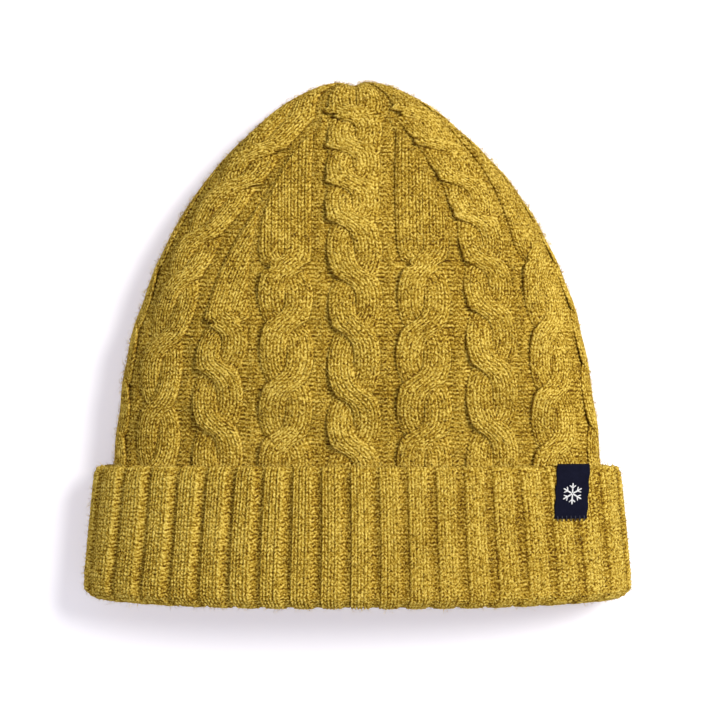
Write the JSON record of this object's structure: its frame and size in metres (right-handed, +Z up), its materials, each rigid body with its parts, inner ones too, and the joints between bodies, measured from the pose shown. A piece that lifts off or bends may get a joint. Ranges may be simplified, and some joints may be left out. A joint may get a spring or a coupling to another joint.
{
  "type": "cable-knit beanie",
  "caption": "Soft knitted beanie with raised cables, a turned-up rib cuff that can be drawn down, and a small woven label.",
  "frame": {"origin": "on the table, at the middle of the outline of the hat laid flat on its back", "axes": "+Z up from the table through the hat's front, +Y from the mouth to the crown, +X to the viewer's right across the cuff"},
  "size_m": [0.2292, 0.2213, 0.0478],
  "materials": {
    "cable_knit": "heathered mustard wool, cable knit",
    "rib_knit": "heathered mustard wool, rib knit",
    "seam_yarn": "mustard wool yarn",
    "label_cloth": "dark woven satin label",
    "label_figure": "pale woven threads",
    "label_thread": "dark sewing thread",
    "care_cloth": "white woven ribbon",
    "care_thread": "pale sewing thread"
  },
  "bodies": {
    "hat": {"crown_body": "cable_knit", "rib_band": "rib_knit", "back_seam": "seam_yarn", "crown_yarn": "seam_yarn", "crown_knot": "seam_yarn", "crown_tail": "seam_yarn", "care_label": "care_cloth", "care_stitches": "care_thread"},
    "turn_up": {"cuff": "rib_knit", "cuff_seam": "seam_yarn", "label": "label_cloth", "label_motif": "label_figure", "label_stitches": "label_thread"}
  },
  "joints": [
    {"name": "cuff_slide", "type": "slide", "parent": "hat", "child": "turn_up", "axis": [0, -1, 0], "range_m": [0, 0.05]}
  ]
}
